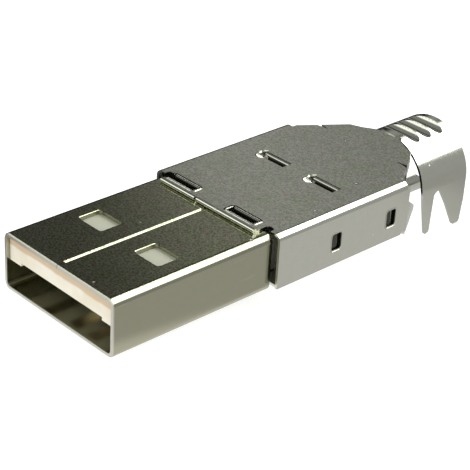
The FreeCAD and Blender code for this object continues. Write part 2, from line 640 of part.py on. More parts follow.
ARCH_INSIDE = "({saddle_radius} - {cover_gauge})"
outer_arch = arch("OuterArch", "{saddle_radius}", "{tine_drop}")
inner_arch = arch("InnerArch", ARCH_INSIDE, "{tine_drop} + {cover_gauge}")
GROOVE_RADIUS = "(({groove_half} ^ 2 + {groove_depth} ^ 2) / (2 * {groove_depth}))"
ARCH_TOP = f"({PLATE_TOP} + {{saddle_rise}})"
outer_grooves, inner_ridges = [], []
for index in range(int(cell("groove_count"))):
    along = f"{SADDLE_FRONT} + {{groove_first}} + {index} * {{groove_pitch}}"
    sizes = {"Radius": GROOVE_RADIUS, "Height": "2 * {saddle_radius}"}
    height = f"{ARCH_TOP} - {{groove_depth}} + {GROOVE_RADIUS}"
    outer_grooves.append(primitive("Part::Cylinder", f"Groove{index + 1}", sizes,
                                   ("-{saddle_radius}", along, height), ALONG_X))
    inner_ridges.append(primitive("Part::Cylinder", f"Ridge{index + 1}", sizes,
                                  ("-{saddle_radius}", along, f"{height} - {{cover_gauge}}"), ALONG_X))
grooves = combine("Part::MultiFuse", "Grooves", Shapes=outer_grooves)
ridges = combine("Part::MultiFuse", "Ridges", Shapes=inner_ridges)
grooved_outside = combine("Part::Cut", "GroovedOutside", Base=outer_arch, Tool=grooves)
ridged_inside = combine("Part::Cut", "RidgedInside", Base=inner_arch, Tool=ridges)
plain_saddle = combine("Part::Cut", "PlainSaddle", Base=grooved_outside, Tool=ridged_inside)

# The legs' side view, which leaves two tines a side
side_view = doc.addObject("PartDesign::Body", "TineOutline")
TIP = "-{tine_drop}"
FRONT = SADDLE_FRONT
REAR_TIP = f"{SADDLE_REAR} - {{rear_tine_end}}"
OVER_ARCH = f"{ARCH_TOP} + {{cover_gauge}}"
tine_corners = [
    (FRONT, OVER_ARCH),
    (FRONT, "-{leg_shoulder}"),
    (f"{FRONT} + {{leg_waist_back}}", "-{leg_waist}", "{tine_sweep}"),
    (f"{FRONT} + {{front_tine_start}}", f"{TIP} + {{front_tip_length}}", "{tine_sweep}"),
    (f"{FRONT} + {{front_tine_start}} + {{front_tip_radius}}", f"{TIP} + {{front_tip_radius}}",
     "{front_tip_radius}"),
    (f"{FRONT} + {{front_tine_end}}", f"{TIP} + 2 * {{front_tip_radius}}", "{front_tip_radius}"),
    (f"{FRONT} + {{fork_start}}", "-{fork_rise} - {rear_tip_radius}", "{rear_tip_radius}"),
    (f"{FRONT} + {{fork_end}}", "-{fork_rise}", "{rear_tip_radius}"),
    (f"{FRONT} + {{rear_tine_bend}}", f"({TIP} - {{fork_rise}}) / 2 + {{rear_tip_radius}}",
     "{tine_sweep}"),
    (f"{REAR_TIP} - {{rear_tine_width}}", TIP, "{rear_tip_radius}"),
    (REAR_TIP, TIP, "{rear_tip_radius}"),
    (f"{SADDLE_REAR} + {{rear_leg_swell}}", "-{leg_waist}", "2 * {tine_sweep}"),
    (SADDLE_REAR, OVER_ARCH),
]
pad(side_view, "TinePad",
    outline(side_view, "TineSection", "YZ_Plane", tine_corners, offset="-2 * {saddle_radius}"),
    "4 * {saddle_radius}")
saddle = combine("Part::MultiCommon", "Saddle", Shapes=[plain_saddle, side_view])

# The rolled bead along the lip, in two lengths beside the slit
BEAD_HEIGHT = f"({TOP} + {{lip_bead}})"
SLIT_LEFT = "(-{slit_offset} - {lip_slit} / 2)"
SLIT_RIGHT = "(-{slit_offset} + {lip_slit} / 2)"
beads = []
for name, left, right in (("BeadLeft", "-{lip_half}", SLIT_LEFT), ("BeadRight", SLIT_RIGHT, "{lip_half}")):
    beads.append(primitive("Part::Cylinder", name,
                           {"Radius": "{lip_bead}", "Height": f"{right} - ({left})"},
                           (left, LIP_FRONT, BEAD_HEIGHT), ALONG_X))

# A dish pressed into the plate at the left end of each rear tab's slot
DISH_BALL = "(({dish_across} ^ 2 / 4 + {dish_deep} ^ 2) / (2 * {dish_deep}))"
DISH_HEIGHT = f"({PLATE_TOP} - {{dish_deep}} + {DISH_BALL})"
bulges, dishes, beside_slots = [], [], []
for name, middle in (("Left", "{rear_lance_left}"), ("Right", "{rear_lance_right}")):
    slot_end = f"({middle} - {{rear_lance_width}} / 2)"
    centre = (f"{slot_end} + {{dish_inset}}", REAR_TAB, DISH_HEIGHT)
    dishes.append(primitive("Part::Sphere", f"Dish{name}", {"Radius": DISH_BALL}, centre))
    bulges.append(primitive("Part::Sphere", f"Bulge{name}",
                            {"Radius": f"{DISH_BALL} + {{cover_gauge}}"}, centre))
    beside_slots.append(primitive("Part::Box", f"BesideSlot{name}",
                                  {"Length": "{dish_across}", "Width": "2 * {dish_across}",
                                   "Height": "{shell_height}"},
                                  (f"{slot_end} - {{dish_across}}", f"{REAR_TAB} - {{dish_across}}",
                                   f"{PLATE_TOP} - {{shell_height}}")))
bulge_balls = combine("Part::MultiFuse", "BulgeBalls", Shapes=bulges)
dish_balls = combine("Part::MultiFuse", "DishBalls", Shapes=dishes)
beside = combine("Part::MultiFuse", "BesideSlots", Shapes=beside_slots)
bulge_skin = combine("Part::Common", "BulgeSkin", Base=bulge_balls, Tool=beside)
dish_space = combine("Part::Common", "DishSpace", Base=dish_balls, Tool=beside)
holes = [primitive("Part::Cylinder", f"NeckHole{name}",
                   {"Radius": "{neck_hole}", "Height": "{saddle_radius}"},
                   (f"{side} * {{neck_half}}", SADDLE_FRONT, f"{PLATE_TOP} - {{saddle_radius}} / 2"))
         for name, side in (("Left", -1), ("Right", 1))]
top_whole = combine("Part::MultiFuse", "TopWhole", Shapes=[cover, saddle, bulge_skin] + beads)
cut_set = combine("Part::MultiFuse", "DishesAndHoles", Shapes=[dish_space] + holes)
top_cover = combine("Part::Cut", "top_cover", Base=top_whole, Tool=cut_set)
top_cover.Label = "top_cover"

# The bottom cover: a tray with wedge latches, and a plate that tapers and dips
# into the cable trough
tray = new_body("tray_sheet")
TRAY_TOP = f"({TOP} - {{tray_headroom}})"
FLOOR = f"({BOTTOM} + {{cover_gauge}})"
TRAY_INSIDE = f"({TRAY_HALF} - {{cover_gauge}})"
pad(tray, "TrayChannel",
    outline(tray, "TraySection", "XZ_Plane",
            [(f"-{TRAY_HALF}", BOTTOM, "{cover_corner}"), (TRAY_HALF, BOTTOM, "{cover_corner}"),
             (TRAY_HALF, TRAY_TOP), (TRAY_INSIDE, TRAY_TOP), (TRAY_INSIDE, FLOOR, INNER_BEND),
             (f"-{TRAY_INSIDE}", FLOOR, INNER_BEND), (f"-{TRAY_INSIDE}", TRAY_TOP),
             (f"-{TRAY_HALF}", TRAY_TOP)],
            offset=f"-{TRAY_FRONT}"),
    f"{TRAY_TAPER} - {TRAY_FRONT}", backwards=True)
pad(tray, "TrayPlate",
    outline(tray, "TrayPlateOutline", "XY_Plane",
            mirrored([(f"{TRAY_HALF} - {{cover_corner}}", f"{TRAY_TAPER} - {{cover_gauge}}"),
                      (TRAY_TAPER_HALF, TRAY_TAPER),
                      ("{tray_end_half}", TRAY_TAPER_END),
                      ("{trough_root_half}", SADDLE_FRONT)]),
            offset=BOTTOM),
    "{cover_gauge}")
WEDGE_LOW = "({window_low} + {latch_play})"
WEDGE_HIGH = "({window_low} + {window_height} - {latch_play})"
for name, middle in (("Front", WINDOW_FRONT), ("Back", WINDOW_BACK)):
    both_ways(tray, f"WedgeOpening{name}",
              rectangle(tray, f"WedgeOpeningOutline{name}", "YZ_Plane",
                        f"{middle} - {{window_length}} / 2", f"{middle} + {{window_length}} / 2",
                        "{window_low}", WEDGE_HIGH),
              COVER_WIDTH)
    for side, hand in ((1, "Right"), (-1, "Left")):
        inner = f"{side} * {TRAY_INSIDE}"
        face = f"{side} * {TRAY_HALF}"
        crest = f"{side} * ({TRAY_HALF} + {{latch_rise}})"
        crest_inner = f"{side} * ({TRAY_INSIDE} + {{latch_rise}})"
        corners = [(crest_inner, WEDGE_LOW), (crest, WEDGE_LOW), (face, WEDGE_HIGH),
                   (face, f"{WEDGE_HIGH} + {{cover_gauge}}"), (inner, f"{WEDGE_HIGH} + {{cover_gauge}}"),
                   (inner, WEDGE_HIGH)]
        pad(tray, f"Wedge{name}{hand}",
            outline(tray, f"WedgeSection{name}{hand}", "XZ_Plane",
                    corners if side > 0 else corners[::-1],
                    offset=f"-({middle} - {{window_length}} / 2 + {{latch_play}})"),
            "{latch_side}", backwards=True)
for side, hand in ((1, "Right"), (-1, "Left")):
    corners = [(f"{side} * {TRAY_TAPER_HALF}", TRAY_TAPER),
               (f"{side} * {{tray_end_half}}", TRAY_TAPER_END),
               (f"{side} * ({{tray_end_half}} - {FLANGE_SKEW})", TRAY_TAPER_END),
               (f"{side} * ({TRAY_TAPER_HALF} - {FLANGE_SKEW})", TRAY_TAPER)]
    pad(tray, f"TrayFlange{hand}",
        outline(tray, f"TrayFlangeOutline{hand}", "XY_Plane",
                corners if side > 0 else corners[::-1], offset=BOTTOM),
        "{tray_flange}")
OVER_FLANGE = f"{BOTTOM} + {{tray_flange}} + {{cover_gauge}}"
both_ways(tray, "TrayFlangeSlope",
          outline(tray, "TrayFlangeSlopeOutline", "YZ_Plane",
                  [(TRAY_TAPER, f"{BOTTOM} + {{tray_flange}}"),
                   (TRAY_TAPER_END, f"{BOTTOM} + {{tray_flange_end}}"),
                   (f"{TRAY_TAPER_END} + {{cover_gauge}}", f"{BOTTOM} + {{tray_flange_end}}"),
                   (f"{TRAY_TAPER_END} + {{cover_gauge}}", OVER_FLANGE),
                   (TRAY_TAPER, OVER_FLANGE)]),
          COVER_WIDTH)

# The dip and the trough behind it
FLAT_RADIUS = "({shell_height} / 2 + {trough_axis})"
DIP_START = f"({TAPER_END} - {{dip_length}})"
TROUGH_LENGTH = f"({SADDLE_REAR} - {{trough_end_inset}} - {TAPER_END})"


def dip_and_trough(name, shrink):
    """A cone that widens into a cylinder, both lying along the cable."""
    cone = primitive("Part::Cone", f"{name}Cone",
                     {"Radius1": f"{FLAT_RADIUS} - {shrink}",
                      "Radius2": f"{{trough_radius}} - {shrink}", "Height": "{dip_length}"},
                     ("0", DIP_START, "{trough_axis}"), ALONG_Y)
    tube = primitive("Part::Cylinder", f"{name}Tube",
                     {"Radius": f"{{trough_radius}} - {shrink}", "Height": TROUGH_LENGTH},
                     ("0", TAPER_END, "{trough_axis}"), ALONG_Y)
    return combine("Part::MultiFuse", name, Shapes=[cone, tube])


outside = dip_and_trough("TroughOutside", "0")
inside = dip_and_trough("TroughInside", "{cover_gauge}")
below_plate = primitive("Part::Box", "BelowPlate",
                        {"Length": COVER_WIDTH, "Width": "{dip_length}", "Height": "{shell_height}"},
                        (f"-{COVER_HALF}", DIP_START, f"{FLOOR} - {{shell_height}}"))
below_rim = primitive("Part::Box", "BelowRim",
                      {"Length": COVER_WIDTH, "Width": TROUGH_LENGTH, "Height": "{shell_height}"},
                      (f"-{COVER_HALF}", TAPER_END, "{trough_rim} - {shell_height}"))
kept = combine("Part::MultiFuse", "BelowSheet", Shapes=[below_plate, below_rim])
trough = combine("Part::MultiCommon", "Trough", Shapes=[outside, kept])
tray_whole = combine("Part::MultiFuse", "TrayWhole", Shapes=[tray, trough])
bottom_cover = combine("Part::Cut", "bottom_cover", Base=tray_whole, Tool=inside)
bottom_cover.Label = "bottom_cover"
doc.recompute()

SUB_PARTS = [shell, insulator, top_cover, bottom_cover]
SUB_PARTS += [doc.getObjectsByLabel(label)[0] for label, _, _ in CONTACTS]

failed = [item.Name for item in doc.Objects if {"Invalid", "Error"} & set(item.State)]
if failed:
    raise RuntimeError(f"These objects failed: {failed}")
for item in SUB_PARTS:
    if item.Shape.isNull() or not item.Shape.isValid():
        raise RuntimeError(f"{item.Label} has no valid shape")

os.makedirs("parts", exist_ok=True)
for item in SUB_PARTS:
    item.Shape.exportStep(f"parts/{item.Label}.step")
    box = item.Shape.BoundBox
    print(f"{item.Label}: {len(item.Shape.Solids)} solid, {item.Shape.Volume:.2f} mm3, "
          f"X {box.XMin:.2f}..{box.XMax:.2f} Y {box.YMin:.2f}..{box.YMax:.2f} "
          f"Z {box.ZMin:.2f}..{box.ZMax:.2f}")
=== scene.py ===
import math

import bpy
import numpy as np
from mathutils import Matrix, Vector


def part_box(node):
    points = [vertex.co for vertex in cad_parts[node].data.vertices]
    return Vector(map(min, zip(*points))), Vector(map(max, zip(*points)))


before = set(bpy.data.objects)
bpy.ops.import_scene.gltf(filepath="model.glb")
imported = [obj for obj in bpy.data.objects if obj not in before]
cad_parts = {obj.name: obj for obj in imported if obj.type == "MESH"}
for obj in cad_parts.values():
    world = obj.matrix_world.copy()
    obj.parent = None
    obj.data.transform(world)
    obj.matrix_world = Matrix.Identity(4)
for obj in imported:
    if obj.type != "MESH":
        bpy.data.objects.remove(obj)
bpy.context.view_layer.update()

# A cable plug of folded, plated sheet. +Y runs towards the cable and +Z is up.
MM = 0.001

shell_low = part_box("plug_shell")[0]
cover_low, cover_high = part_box("top_cover")


# Shader maths

class Wire:
    """One output of a node, with the arithmetic of its values."""

    def __init__(self, sheet, socket):
        self.sheet = sheet
        self.socket = socket

    def maths(self, operation, *others):
        """A Math node on this value, and on another one where the operation takes two."""
        values = dict(enumerate([self, *others]))
        return self.sheet.node("ShaderNodeMath", {"operation": operation}, values)

    def __add__(self, other):
        return self.maths("ADD", other)

    __radd__ = __add__

    def __sub__(self, other):
        return self.maths("SUBTRACT", other)

    def __rsub__(self, other):
        values = {0: other, 1: self}
        return self.sheet.node("ShaderNodeMath", {"operation": "SUBTRACT"}, values)

    def __mul__(self, other):
        return self.maths("MULTIPLY", other)

    __rmul__ = __mul__

    def __pow__(self, other):
        return self.maths("POWER", other)

    def size(self):
        """This value without its sign."""
        return self.maths("ABSOLUTE")

    def least(self, other):
        """The smaller of this value and another."""
        return self.maths("MINIMUM", other)

    def most(self, other):
        """The larger of this value and another."""
        return self.maths("MAXIMUM", other)

    def ramp(self, low, high):
        """0 up to low, 1 from high, and a smooth rise between them."""
        settings = {"interpolation_type": "SMOOTHSTEP"}
        return self.sheet.node("ShaderNodeMapRange", settings, {0: self, 1: low, 2: high, 3: 0.0, 4: 1.0})

    def between(self, low, high):
        """low where this value is 0 and high where it is 1."""
        return self * (high - low) + low


class Sheet:
    """The node tree of one material or of the world."""

    def __init__(self, owner):
        owner.use_nodes = True
        self.tree = owner.node_tree
        self.tree.nodes.clear()

    def node(self, kind, settings=None, values=None, output=0):
        """Any node: its settings come first, then the values or links of its sockets."""
        made = self.tree.nodes.new(kind)
        for name, value in (settings or {}).items():
            setattr(made, name, value)
        for name, value in (values or {}).items():
            if isinstance(value, Wire):
                self.tree.links.new(value.socket, made.inputs[name])
            else:
                made.inputs[name].default_value = value
        return Wire(self, made.outputs[output]) if made.outputs else made

    def place(self, scale=(1.0, 1.0, 1.0), shift=(0.0, 0.0, 0.0)):
        """The point on the piece in millimetres, scaled along each axis."""
        point = self.node("ShaderNodeTexCoord", output="Object")
        stretched = tuple(factor / MM for factor in scale)
        return self.node("ShaderNodeMapping", values={"Vector": point, "Scale": stretched,
                                                      "Location": shift})

    def axis(self, name):
        """One coordinate of the point, in millimetres."""
        return self.node("ShaderNodeSeparateXYZ", values={0: self.place()}, output=name)

    def noise(self, size, detail=3.0, stretch=(1.0, 1.0, 1.0), shift=(0.0, 0.0, 0.0),
              roughness=0.5):
        """Soft noise whose blotches are about size millimetres across, times stretch."""
        scale = tuple(1.0 / factor for factor in stretch)
        values = {"Vector": self.place(scale, shift), "Scale": 1.0 / size, "Detail": detail,
                  "Roughness": roughness}
        return self.node("ShaderNodeTexNoise", values=values)

    def cells(self, size, output):
        """A Voronoi pattern with one random point in each size millimetres."""
        values = {"Vector": self.place(), "Scale": 1.0 / size}
        return self.node("ShaderNodeTexVoronoi", values=values, output=output)

    def mixed(self, mask, low, high):
        """The colour low where mask is 0 and high where it is 1."""
        settings = {"data_type": "RGBA", "clamp_factor": True}
        return self.node("ShaderNodeMix", settings, {0: mask, 6: low, 7: high}, output=2)


def colour(red, green, blue):
    """A linear colour from the sRGB values 0 to 255."""
    parts = [part / 255 for part in (red, green, blue)]
    return tuple(((p + 0.055) / 1.055) ** 2.4 if p > 0.04045 else p / 12.92 for p in parts) + (1.0,)


def finish_material(sheet, sockets, bump=None, depth=0.02):
    """A Principled shader with its bump, in mm, joined to the output."""
    if bump is not None:
        values = {"Height": bump, "Distance": depth * MM, "Strength": 1.0}
        sockets = dict(sockets, Normal=sheet.node("ShaderNodeBump", values=values))
    shader = sheet.node("ShaderNodeBsdfPrincipled", values=sockets)
    sheet.node("ShaderNodeOutputMaterial", values={"Surface": shader})


# Places on the plug where the painted shade and painted highlights begin and end, in millimetres
RIM_DEPTH = 0.10
UNDERSIDE = 2.36
INSIDE_HALF = 6.05
INSIDE_FROM = 13.95
WALL_END = 27.7
TONGUE_FACE = 0.30
MOUTH_DEPTH = 3.0
TRAY_INSIDE = -2.0

# The side windows of the cover: middles (y, z), half sizes and rolled rims. The skin is
# the last bit of the side walls below their outer faces (x)
WINDOW_MIDDLES = ((20.25, 0.025), (26.10, 0.025))
WINDOW_HALF = (0.50, 0.675)
WINDOW_ROUNDING = 0.2
ROLLED_RIM = 0.17
WALL_SKIN = 6.56
WINDOWS_FROM = 19.0

# The front slots of the cover: middles (x, y) and half sizes, with a raised frame
SLOT_MIDDLES = ((-3.65, 14.42), (2.73, 14.42))
SLOT_HALF = (1.375, 0.34)
SLOT_ROUNDING = 0.1
SLOTS_REAR = 15.15
SLOT_DEPTH = 0.07

# The dents at the left ends of the rear slots: middles (x, y)
DENT_MIDDLES = ((-3.45, 22.2), (1.65, 22.15))
DENT_RADIUS = 0.52
DENT_BORDER = 0.08

# The left edges (x) of the latch windows on top, and their middle (y)
LATCH_LEFTS = (-4.28, 1.82)
LATCH_MIDDLE = 6.16
CURL_WIDTH = 0.14

# The depth of the bumps in mm, and the slopes and heights that are counted in it
BUMP_DEPTH = 0.012
DENT_SLOPE = 30.0
CURL_SLOPE = 34.0
FRAME_HEIGHT = 8.0
RIM_HEIGHT = 9.0

# Tones of the plating where it isn't clean, and the near black of painted shade and the light grey of
# painted highlights
GRIME_TONE = (0.05, 0.05, 0.04, 1.0)
DUST_TONE = (0.09, 0.10, 0.03, 1.0)
# Near black painted shade for the cover's insides and slots and the tray inside the cover
PAINTED_SHADE_TONE = (0.035, 0.034, 0.028, 1.0)
SPECK_TONE = colour(236, 236, 230)
# Light grey painted highlight for the mouth's rim, the curled edges and the dents
PAINTED_HIGHLIGHT_TONE = colour(206, 206, 194)


def away_from(sheet, axes, middles, half, rounding):
    """How far a point is outside the nearest of some equal rounded rectangles, in mm."""
    first, second = (sheet.axis(name) for name in axes)
    near = None
    for middle in middles:
        across = (first - middle[0]).size() - (half[0] - rounding)
        along = (second - middle[1]).size() - (half[1] - rounding)
        outside = (across.most(0.0) ** 2 + along.most(0.0) ** 2) ** 0.5
        near = outside - rounding if near is None else near.least(outside - rounding)
    return near


def side_windows(sheet):
    """The distance outside the side windows of the cover."""
    return away_from(sheet, "YZ", WINDOW_MIDDLES, WINDOW_HALF, WINDOW_ROUNDING)


def front_slots(sheet):
    """The distance outside the front slots of the cover."""
    return away_from(sheet, "XY", SLOT_MIDDLES, SLOT_HALF, SLOT_ROUNDING)


def from_dents(sheet):
    """The distances of a point from the middles of the dents."""
    x, y = sheet.axis("X"), sheet.axis("Y")
    return [((x - middle_x) ** 2 + (y - middle_y) ** 2) ** 0.5
            for middle_x, middle_y in DENT_MIDDLES]


def inside_dent(distance):
    """1 inside a dent and 0 outside it."""
    return 1.0 - distance.ramp(DENT_RADIUS - DENT_BORDER, DENT_RADIUS)


def painted_curl_highlights(sheet):
    """Painted highlights on the curled edges of the front slots and side windows and in the two dents."""
    x, z = sheet.axis("X"), sheet.axis("Z")
    ragged = sheet.noise(0.15, detail=2.0, shift=(4.0, 4.0, 6.0))
    slots = front_slots(sheet) + (ragged - 0.5) * 0.16
    plate_top = z.ramp(UNDERSIDE + SLOT_DEPTH, UNDERSIDE + SLOT_DEPTH + 0.02)
    curl = (1.0 - slots.ramp(0.10, 0.17)) * plate_top
    wall = x.size().ramp(WALL_SKIN - 0.06, WALL_SKIN)
    rolled = (1.0 - side_windows(sheet).ramp(0.08, ROLLED_RIM)) * wall
    left, right = from_dents(sheet)
    return (curl * 0.8).most(rolled * 0.8).most(inside_dent(left.least(right)))


def cover_slopes(sheet):
    """The two dents at the left ends of the rear slots, which slope to the right, the
    raised frames of the front slots, and the rolled rims of the side windows."""
    x = sheet.axis("X")
    left, right = (inside_dent(distance) * (x - middle[0] - DENT_RADIUS) * -DENT_SLOPE
                   for distance, middle in zip(from_dents(sheet), DENT_MIDDLES))
    slots = front_slots(sheet)
    frames = slots.ramp(0.0, 0.10) * (1.0 - slots.ramp(0.13, 0.26)) * FRAME_HEIGHT
    return left + right + frames + side_windows(sheet).ramp(0.0, ROLLED_RIM) * RIM_HEIGHT


def latch_curls(sheet):
    """The slope of the curled left edges of the latch windows on top, which faces right."""
    x, y = sheet.axis("X"), sheet.axis("Y")
    beside = 1.0 - (y - LATCH_MIDDLE).size().ramp(0.85, 1.0)
    slopes = []
    for left in LATCH_LEFTS:
        across = x - left
        line = across.ramp(-CURL_WIDTH, 0.02 - CURL_WIDTH) * (1.0 - across.ramp(0.0, 0.02))
        slopes.append(line * beside * across * -CURL_SLOPE)
    return slopes[0] + slopes[1]


def plated_sheet(name, tints, rough, mottle, specks, top, dusty, dark=None, pale=None, slopes=None):
    """Bright plated sheet steel: cloudy plating in slightly different tints, rolling grain,
    specks and hairline scratches. The faces at the height top are grainier. dark is a mask of
    painted shade and pale a mask of painted highlights, and slopes is a height that is added."""
    clear, green, brown = tints
    material = bpy.data.materials.new(name)
    sheet = Sheet(material)
    clouds = sheet.noise(2.4, detail=4.0)
    tint = sheet.noise(0.8, detail=4.0, shift=(3.0, 8.0, 2.0), roughness=0.6)
    fine = sheet.noise(0.22, detail=3.0, shift=(7.0, 3.0, 1.0))
    grain = sheet.noise(0.06, detail=2.0, stretch=(1.0, 30.0, 1.0))
    dots = sheet.cells(1.1, "Distance")
    chance = sheet.node("ShaderNodeSeparateColor", values={0: sheet.cells(1.1, "Color")})
    lucky = chance.ramp(1.0 - specks, 1.0 - specks * 0.6)
    speck = (1.0 - (dots + (fine - 0.5) * 0.10).ramp(0.04, 0.15)) * lucky
    lines = sheet.noise(0.5, detail=1.0, stretch=(0.12, 9.0, 1.0), shift=(2.0, 11.0, 5.0))
    scratch = lines.ramp(0.70, 0.74) * clouds.ramp(0.45, 0.7)
    z = sheet.axis("Z")
    upper = z.ramp(top - 0.05, top) * (1.0 - z.ramp(top + 0.06, top + 0.10))
    mottle = upper.between(mottle * 0.3, mottle)
    tone = sheet.mixed(tint.ramp(0.46, 0.60) * mottle, clear, green)
    tone = sheet.mixed((1.0 - tint.ramp(0.38, 0.48)) * mottle, tone, brown)
    tone = sheet.mixed(fine.ramp(0.42, 0.62) * 0.10 * mottle, tone, GRIME_TONE)
    dust = sheet.noise(0.17, detail=2.0, shift=(1.0, 5.0, 9.0), roughness=0.8)
    tone = sheet.mixed(upper * dust.ramp(0.40, 0.62) * dusty, tone, DUST_TONE)
    tone = sheet.mixed(speck * 0.6 + scratch * 0.15, tone, SPECK_TONE)
    roughness = (clouds - 0.5) * 0.06 + (grain - 0.5) * 0.05 + (rough + speck * 0.2 + scratch * 0.1)
    height = clouds * 0.40 + fine * 0.05 + grain * 0.03 - speck * 1.3 - scratch * 0.1
    if dark is not None:
        # Painted shade: the dark mask turns the plating near black
        shade_paint = dark(sheet)
        tone = sheet.mixed(shade_paint, tone, PAINTED_SHADE_TONE)
        roughness = roughness + shade_paint * 0.25
    if pale is not None:
        # Painted highlight: the pale mask turns the plating light grey
        highlight_paint = pale(sheet)
        tone = sheet.mixed(highlight_paint, tone, PAINTED_HIGHLIGHT_TONE)
        roughness = roughness + highlight_paint * 0.35
    if slopes is not None:
        height = height + slopes(sheet)
    finish_material(sheet, {"Base Color": tone, "Metallic": 1.0, "Roughness": roughness}, height,
                    BUMP_DEPTH)
    return material


def painted_shade_under_cover(sheet):
    """Painted shade on the inside of the top cover: its slots, tabs and underside, and the cut
    edges of its side windows."""
    x, y, z = (sheet.axis(name) for name in "XYZ")
    deep = UNDERSIDE + (1.0 - y.ramp(SLOTS_REAR, SLOTS_REAR + 0.05)) * SLOT_DEPTH
    under = 1.0 - (z - deep).ramp(-0.06, 0.0)
    along = y.ramp(INSIDE_FROM - 0.1, INSIDE_FROM) * (1.0 - y.ramp(WALL_END - 0.1, WALL_END))
    under = under * along * (1.0 - x.size().ramp(INSIDE_HALF - 0.05, INSIDE_HALF))
    below_skin = 1.0 - x.size().ramp(WALL_SKIN, WALL_SKIN + 0.03)
    cut = (1.0 - side_windows(sheet).ramp(0.005, 0.02)) * below_skin
    return under.most(cut * y.ramp(WINDOWS_FROM, WINDOWS_FROM + 0.5))


def painted_shade_on_tray(sheet):
    """Painted shade on the tray's walls and latches behind the side windows."""
    y, z = sheet.axis("Y"), sheet.axis("Z")
    return z.ramp(TRAY_INSIDE, TRAY_INSIDE + 0.1) * (1.0 - y.ramp(WALL_END - 0.1, WALL_END)) * 0.92


def painted_highlight_on_rim(sheet):
    """The rim of the mating end, with a painted highlight."""
    return 1.0 - sheet.axis("Y").ramp(0.015, RIM_DEPTH)


def cream_plastic(name):
    """Matt moulded plastic, a little yellower and darker in its cloudy patches, with painted shade:
    peach under the shell's top at the tongue's face, and greyer behind the mouth inside the shell."""
    material = bpy.data.materials.new(name)
    sheet = Sheet(material)
    clouds = sheet.noise(1.6, detail=3.0)
    pits = sheet.noise(0.09, detail=2.0)
    y, z = sheet.axis("Y"), sheet.axis("Z")
    tone = sheet.mixed(clouds.ramp(0.3, 0.75), colour(250, 246, 230), colour(242, 235, 212))
    # Painted shade of the shell's top across the upper part of the tongue's face, in peach
    wavy = z + (clouds - 0.5) * 0.3
    band = (1.0 - y.ramp(TONGUE_FACE + 0.05, TONGUE_FACE + 0.2)) * wavy.ramp(1.15, 1.35)
    tone = sheet.mixed(band * 0.8, tone, colour(214, 184, 144))
    # Painted shade inside the shell: the plastic behind the mouth is greyer
    tone = sheet.mixed(y.ramp(MOUTH_DEPTH, MOUTH_DEPTH + 1.5), tone, colour(178, 180, 162))
    roughness = (pits - 0.5) * 0.15 + 0.45
    finish_material(sheet, {"Base Color": tone, "Roughness": roughness, "Specular IOR Level": 0.4},
                    clouds * 0.3 + pits * 0.3, BUMP_DEPTH)
    return material


def gilt(name):
    """Thin gilt plating on a rolled blade."""
    material = bpy.data.materials.new(name)
    sheet = Sheet(material)
    clouds = sheet.noise(0.9, detail=3.0)
    grain = sheet.noise(0.05, detail=2.0, stretch=(1.0, 24.0, 1.0))
    tone = sheet.mixed(clouds.ramp(0.35, 0.7), colour(208, 190, 146), colour(178, 158, 112))
    roughness = (grain - 0.5) * 0.16 + 0.28
    finish_material(sheet, {"Base Color": tone, "Metallic": 1.0, "Roughness": roughness}, grain, 0.004)
    return material


def dress(node, material):
    """Give a carried-over node its finish."""
    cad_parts[node].material_slots[0].material = material


# The clear, green and brown tints of the plating
SHELL_TINTS = ((0.39, 0.39, 0.295, 1.0), (0.35, 0.41, 0.22, 1.0), (0.44, 0.38, 0.29, 1.0))
COVER_TINTS = ((0.63, 0.64, 0.57, 1.0), (0.56, 0.62, 0.44, 1.0), (0.68, 0.63, 0.54, 1.0))
dress("plug_shell",
      plated_sheet("plated shell", SHELL_TINTS, rough=0.15, mottle=0.4, specks=0.10, top=2.2,
                   dusty=0.70, pale=painted_highlight_on_rim, slopes=latch_curls))
dress("top_cover",
      plated_sheet("plated cover", COVER_TINTS, rough=0.16, mottle=0.5, specks=0.16, top=2.4,
                   dusty=0.42, dark=painted_shade_under_cover, pale=painted_curl_highlights, slopes=cover_slopes))
dress("bottom_cover",
      plated_sheet("plated tray", COVER_TINTS, rough=0.18, mottle=0.4, specks=0.10, top=3.0,
                   dusty=0.40, dark=painted_shade_on_tray))
dress("insulator", cream_plastic("cream plastic"))
gilt_finish = gilt("gilt contact")
for label in ("contact_power", "contact_data_minus", "contact_data_plus", "contact_ground"):
    dress(label, gilt_finish)


# The floor touches the front bottom edge of the shell and the tips of the front tines
FLOOR_REACH = 3.0
FRONT_TIP_INSET = 0.0041
FLOOR_PLAY = 0.00002
# How bright the floor looks in the metal: everywhere, how much brighter under the plug
# and in front of it, and the part of that glow which remains to the left of the plug
FLOOR_GLOW = 0.61
UNDER_GLOW = 0.35
FAR_PART = 0.12


